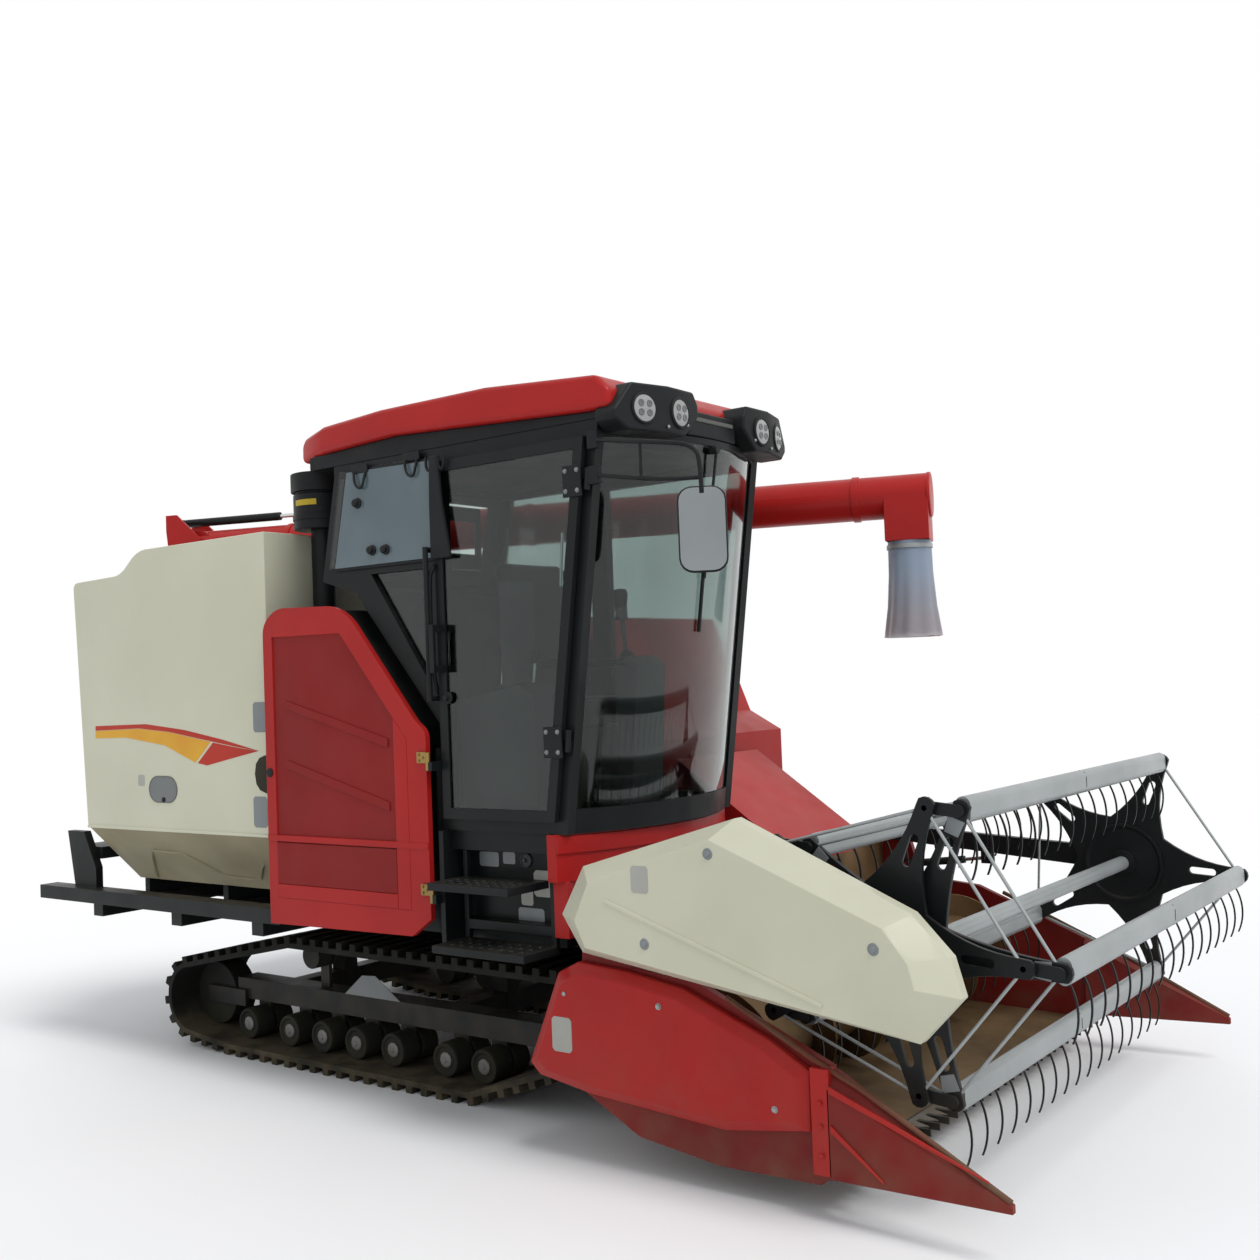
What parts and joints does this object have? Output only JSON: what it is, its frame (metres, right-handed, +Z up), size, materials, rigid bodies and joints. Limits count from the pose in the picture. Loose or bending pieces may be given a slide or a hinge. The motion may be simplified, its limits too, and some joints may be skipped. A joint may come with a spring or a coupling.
{
  "type": "tracked combine harvester",
  "caption": "Full-feed grain harvester on rubber tracks with cab, side grain tank, front cutting header with tined reel, feeder house and swinging unloading auger",
  "frame": {"origin": "centre of the machine's footprint box, on the ground under the tracks", "axes": "+X forwards towards the header, +Y to the machine's left, +Z up"},
  "size_m": [5.4358, 2.585, 2.8961],
  "materials": {
    "red_paint": "glossy red enamel",
    "cream_paint": "glossy cream enamel",
    "black_paint": "satin black enamel",
    "track_rubber": "dusty black rubber",
    "wheel_iron": "black painted iron with dust",
    "silver_tube": "satin silver tube",
    "worn_steel": "worn sheet steel with a brown cast",
    "rod_chrome": "polished rod",
    "cab_glass": "clear glass with a slight green tint",
    "lamp_lens": "clear lens over a bright reflector",
    "black_plastic": "grained black plastic",
    "grey_plastic": "grained grey plastic",
    "seat_fabric": "dark woven cloth",
    "sleeve_pvc": "translucent blue grey sheet"
  },
  "bodies": {
    "chassis": {"air_cleaner": "black_plastic", "cab_base": "black_paint", "cab_controls": "grey_plastic", "cab_frame": "black_paint", "cab_rear_wall": "black_paint", "cab_roof": "red_paint", "chassis_frame": "black_paint", "drive_gearbox": "black_paint", "engine_block": "black_paint", "engine_housing": "black_paint", "grain_tank": "cream_paint", "mirror": "black_plastic", "nose_panel": "red_paint", "roof_visor": "black_plastic", "seat_back": "seat_fabric", "seat_base": "black_paint", "seat_cushion": "seat_fabric", "side_rail": "black_paint", "side_windows": "cab_glass", "steps": "black_paint", "straw_hood": "black_plastic", "threshing_body": "red_paint", "track_beams": "black_paint", "track_left": "track_rubber", "track_posts": "black_paint", "track_right": "track_rubber", "track_wheels_left": "wheel_iron", "track_wheels_right": "wheel_iron", "windshield": "cab_glass", "work_lamps": "lamp_lens"},
    "door": {"door_frame": "black_paint", "door_glass": "cab_glass"},
    "engine_cover": {"engine_cover": "red_paint"},
    "header": {"feeder_house": "red_paint", "header_pan": "worn_steel", "header_side_right": "red_paint", "header_side_left": "red_paint", "cutter_bar": "black_paint", "header_drive_cover": "red_paint"},
    "header_auger": {"header_auger": "worn_steel"},
    "reel_arms": {"reel_arm_right": "black_paint", "reel_arm_left": "black_paint", "reel_drive_cover": "cream_paint"},
    "reel": {"reel_core": "black_paint"},
    "control_spider": {"reel_control_spider": "black_paint"},
    "turret": {"unloader_turret": "red_paint"},
    "unloader": {"unloader_tube": "red_paint", "spout_sleeve": "sleeve_pvc"},
    "header_barrel": {"header_cylinder_barrel": "black_paint"},
    "header_rod": {"header_cylinder_rod": "rod_chrome"},
    "reel_barrel": {"reel_cylinder_barrel": "black_paint"},
    "reel_rod": {"reel_cylinder_rod": "rod_chrome"},
    "unloader_barrel": {"unloader_cylinder_barrel": "black_paint"},
    "unloader_rod": {"unloader_cylinder_rod": "rod_chrome"},
    "reel_bar_1": {"reel_bar_1": "silver_tube"},
    "reel_bar_2": {"reel_bar_2": "silver_tube"},
    "reel_bar_3": {"reel_bar_3": "silver_tube"},
    "reel_bar_4": {"reel_bar_4": "silver_tube"},
    "reel_bar_5": {"reel_bar_5": "silver_tube"}
  },
  "joints": [
    {"name": "header_lift", "type": "hinge", "parent": "chassis", "child": "header", "pos_m": [0.54, 0, 1.23], "axis": [0, -1, 0], "range_deg": [0, 20]},
    {"name": "header_auger_spin", "type": "hinge", "parent": "header", "child": "header_auger", "pos_m": [1.4, 0, 0.42], "axis": [0, 1, 0], "continuous": true},
    {"name": "reel_lift", "type": "hinge", "parent": "header", "child": "reel_arms", "pos_m": [1.05, 0, 0.95], "axis": [0, -1, 0], "range_deg": [0, 15]},
    {"name": "reel_spin", "type": "hinge", "parent": "reel_arms", "child": "reel", "pos_m": [2.215, 0, 0.855], "axis": [0, 1, 0], "continuous": true},
    {"name": "control_spider_spin", "type": "hinge", "parent": "reel_arms", "child": "control_spider", "pos_m": [2.115, 0, 0.865], "axis": [0, 1, 0], "continuous": true},
    {"name": "reel_bar_1_spin", "type": "hinge", "parent": "reel", "child": "reel_bar_1", "pos_m": [2.39294, 0, 1.29541], "axis": [0, 1, 0], "continuous": true},
    {"name": "reel_bar_2_spin", "type": "hinge", "parent": "reel", "child": "reel_bar_2", "pos_m": [1.85113, 0, 1.16032], "axis": [0, 1, 0], "continuous": true},
    {"name": "reel_bar_3_spin", "type": "hinge", "parent": "reel", "child": "reel_bar_3", "pos_m": [1.81218, 0, 0.60329], "axis": [0, 1, 0], "continuous": true},
    {"name": "reel_bar_4_spin", "type": "hinge", "parent": "reel", "child": "reel_bar_4", "pos_m": [2.32991, 0, 0.39411], "axis": [0, 1, 0], "continuous": true},
    {"name": "reel_bar_5_spin", "type": "hinge", "parent": "reel", "child": "reel_bar_5", "pos_m": [2.68884, 0, 0.82187], "axis": [0, 1, 0], "continuous": true},
    {"name": "cab_door_open", "type": "hinge", "parent": "chassis", "child": "door", "pos_m": [0.92608, -1.1235, 1.526], "axis": [0.142, 0, 0.9899], "range_deg": [0, 75]},
    {"name": "engine_cover_open", "type": "hinge", "parent": "chassis", "child": "engine_cover", "pos_m": [0.252, -1.179, 1.2], "axis": [0, 0, 1], "range_deg": [0, 90]},
    {"name": "unloader_swing", "type": "hinge", "parent": "chassis", "child": "turret", "pos_m": [-2.15, -0.45, 2.4], "axis": [0, 0, 1], "range_deg": [0, 200]},
    {"name": "unloader_lift", "type": "hinge", "parent": "turret", "child": "unloader", "pos_m": [-2.15, -0.45, 2.54], "axis": [0.3322, -0.9432, 0], "range_deg": [0, 40]},
    {"name": "header_cylinder_turn", "type": "hinge", "parent": "chassis", "child": "header_barrel", "pos_m": [0.25, 0, 0.59], "axis": [0, -1, 0], "range_deg": [0, 11.87]},
    {"name": "header_cylinder_stroke", "type": "slide", "parent": "header_barrel", "child": "header_rod", "axis": [0.9915, 0, -0.1298], "range_m": [0, 0.22567]},
    {"name": "reel_cylinder_turn", "type": "hinge", "parent": "header", "child": "reel_barrel", "pos_m": [1.145, 0, 0.79], "axis": [0, -1, 0], "range_deg": [0, 16.73]},
    {"name": "reel_cylinder_stroke", "type": "slide", "parent": "reel_barrel", "child": "reel_rod", "axis": [0.9934, 0, 0.1149], "range_m": [0, 0.04681]},
    {"name": "unloader_cylinder_turn", "type": "hinge", "parent": "turret", "child": "unloader_barrel", "pos_m": [-2.26319, -0.48986, 2.69], "axis": [0.3322, -0.9432, 0], "range_deg": [0, 37.19]},
    {"name": "unloader_cylinder_stroke", "type": "slide", "parent": "unloader_barrel", "child": "unloader_rod", "axis": [0.9432, 0.3322, 0], "range_m": [-0.12357, 0]}
  ],
  "couplings": [
    {"joint": "control_spider_spin", "follows": "reel_spin", "ratio": 1},
    {"joint": "reel_bar_1_spin", "follows": "reel_spin", "ratio": -1},
    {"joint": "reel_bar_2_spin", "follows": "reel_spin", "ratio": -1},
    {"joint": "reel_bar_3_spin", "follows": "reel_spin", "ratio": -1},
    {"joint": "reel_bar_4_spin", "follows": "reel_spin", "ratio": -1},
    {"joint": "reel_bar_5_spin", "follows": "reel_spin", "ratio": -1},
    {"joint": "header_cylinder_turn", "follows": "header_lift", "ratio": 0.59295},
    {"joint": "header_cylinder_stroke", "follows": "header_lift", "m_per_rad": 0.64586},
    {"joint": "reel_cylinder_turn", "follows": "reel_lift", "ratio": 1.1141},
    {"joint": "reel_cylinder_stroke", "follows": "reel_lift", "m_per_rad": 0.1786},
    {"joint": "unloader_cylinder_turn", "follows": "unloader_lift", "ratio": 0.92884},
    {"joint": "unloader_cylinder_stroke", "follows": "unloader_lift", "m_per_rad": -0.17683}
  ]
}
